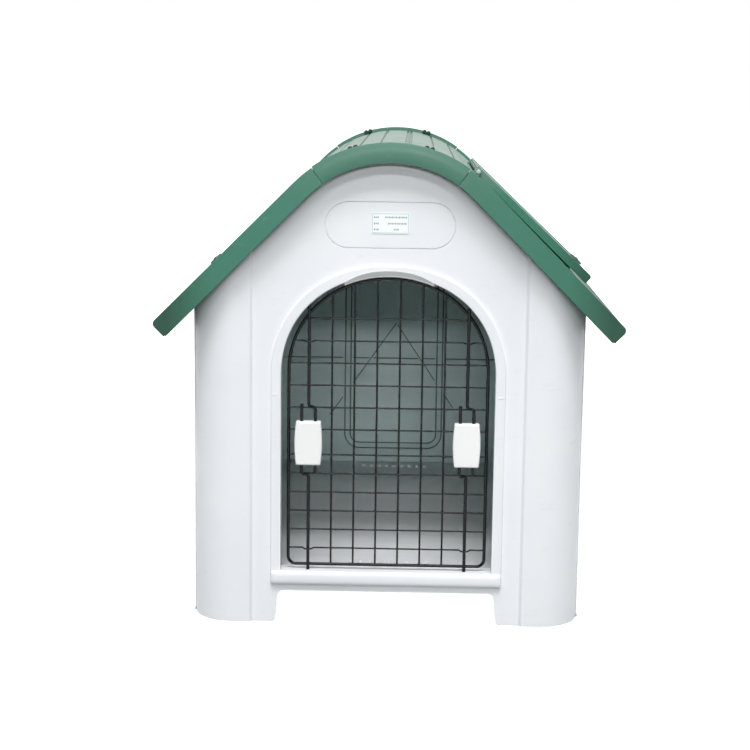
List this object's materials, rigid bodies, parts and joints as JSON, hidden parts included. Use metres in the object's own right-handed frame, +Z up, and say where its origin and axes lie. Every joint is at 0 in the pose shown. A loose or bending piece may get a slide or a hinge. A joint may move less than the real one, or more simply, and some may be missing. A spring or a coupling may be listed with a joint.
{
  "type": "pet kennel",
  "caption": "Moulded plastic pet kennel with a pitched roof, ridge cap, skylight hatch, raised floor and an arched wire door on two spring latches.",
  "frame": {"origin": "centre of the footprint on the ground, under the middle of the house", "axes": "+Z up, the doorway faces -Y, the skylight hatch is on the +X slope"},
  "size_m": [0.7198, 0.87, 0.755],
  "materials": {
    "wall": "satin moulded polypropylene, white",
    "roof": "satin moulded polypropylene, sea green",
    "clip": "satin, dark green",
    "floor": "satin, light grey",
    "knob": "satin, dark grey green",
    "pin": "satin, grey",
    "black_wire": "black powder coat on steel wire",
    "grip": "semi-gloss white",
    "spring": "bright spring steel",
    "tab": "milky translucent",
    "label": "printed paper film, plain marks only"
  },
  "bodies": {
    "house": {"floor_tray": "floor", "front_panel": "wall", "rear_panel": "wall", "side_panel_left": "wall", "side_panel_right": "wall", "roof_panel_left": "roof", "roof_panel_right": "roof", "ridge_cap": "roof", "cap_clip_front_left": "clip", "cap_clip_front_right": "clip", "cap_clip_rear_left": "clip", "cap_clip_rear_right": "clip", "hatch_hinge_pin_front": "pin", "hatch_hinge_pin_rear": "pin", "door_stop_tab": "tab", "label_plate": "label", "corner_screw_left_front_lower": "wall", "corner_screw_left_front_upper": "wall", "corner_screw_left_rear_lower": "wall", "corner_screw_left_rear_upper": "wall", "corner_screw_right_front_lower": "wall", "corner_screw_right_front_upper": "wall", "corner_screw_right_rear_lower": "wall", "corner_screw_right_rear_upper": "wall"},
    "door": {"door_mesh": "black_wire", "latch_grip_front_left": "grip", "latch_grip_back_left": "grip", "latch_spring_upper_left": "spring", "latch_spring_lower_left": "spring", "latch_grip_front_right": "grip", "latch_grip_back_right": "grip", "latch_spring_upper_right": "spring", "latch_spring_lower_right": "spring"},
    "rod_upper_left": {"latch_rod_upper_left": "black_wire"},
    "rod_lower_left": {"latch_rod_lower_left": "black_wire"},
    "rod_upper_right": {"latch_rod_upper_right": "black_wire"},
    "rod_lower_right": {"latch_rod_lower_right": "black_wire"},
    "hatch": {"skylight_hatch": "roof"},
    "hatch_lock": {"hatch_knob": "knob"},
    "roof_lock": {"roof_lock_knob": "knob"}
  },
  "joints": [
    {"name": "door_swing", "type": "hinge", "parent": "house", "child": "door", "pos_m": [-0.123, -0.3965, 0.3], "axis": [0, 0, -1], "range_deg": [0, 105]},
    {"name": "upper_left_rod_slide", "type": "slide", "parent": "door", "child": "rod_upper_left", "axis": [0, 0, 1], "range_m": [-0.012, 0], "stiffness_N_per_m": 300, "springref_m": 0.005, "deforming": ["latch_spring_upper_left"]},
    {"name": "lower_left_rod_slide", "type": "slide", "parent": "door", "child": "rod_lower_left", "axis": [0, 0, -1], "range_m": [-0.012, 0], "stiffness_N_per_m": 300, "springref_m": 0.005, "deforming": ["latch_spring_lower_left"]},
    {"name": "upper_right_rod_slide", "type": "slide", "parent": "door", "child": "rod_upper_right", "axis": [0, 0, 1], "range_m": [0, 0.012], "stiffness_N_per_m": 300, "springref_m": 0.017, "deforming": ["latch_spring_upper_right"]},
    {"name": "lower_right_rod_slide", "type": "slide", "parent": "door", "child": "rod_lower_right", "axis": [0, 0, -1], "range_m": [0, 0.012], "stiffness_N_per_m": 300, "springref_m": 0.017, "deforming": ["latch_spring_lower_right"]},
    {"name": "hatch_swing", "type": "hinge", "parent": "house", "child": "hatch", "pos_m": [0.14064, 0, 0.69981], "axis": [0, -1, 0], "range_deg": [0, 75]},
    {"name": "hatch_knob_turn", "type": "hinge", "parent": "hatch", "child": "hatch_lock", "pos_m": [0.31889, 0, 0.53962], "axis": [0.6838, 0, 0.7297], "range_deg": [0, 90]},
    {"name": "roof_lock_turn", "type": "hinge", "parent": "house", "child": "roof_lock", "pos_m": [-0.30957, 0, 0.52989], "axis": [-0.7071, 0, 0.7071], "range_deg": [0, 90]}
  ]
}
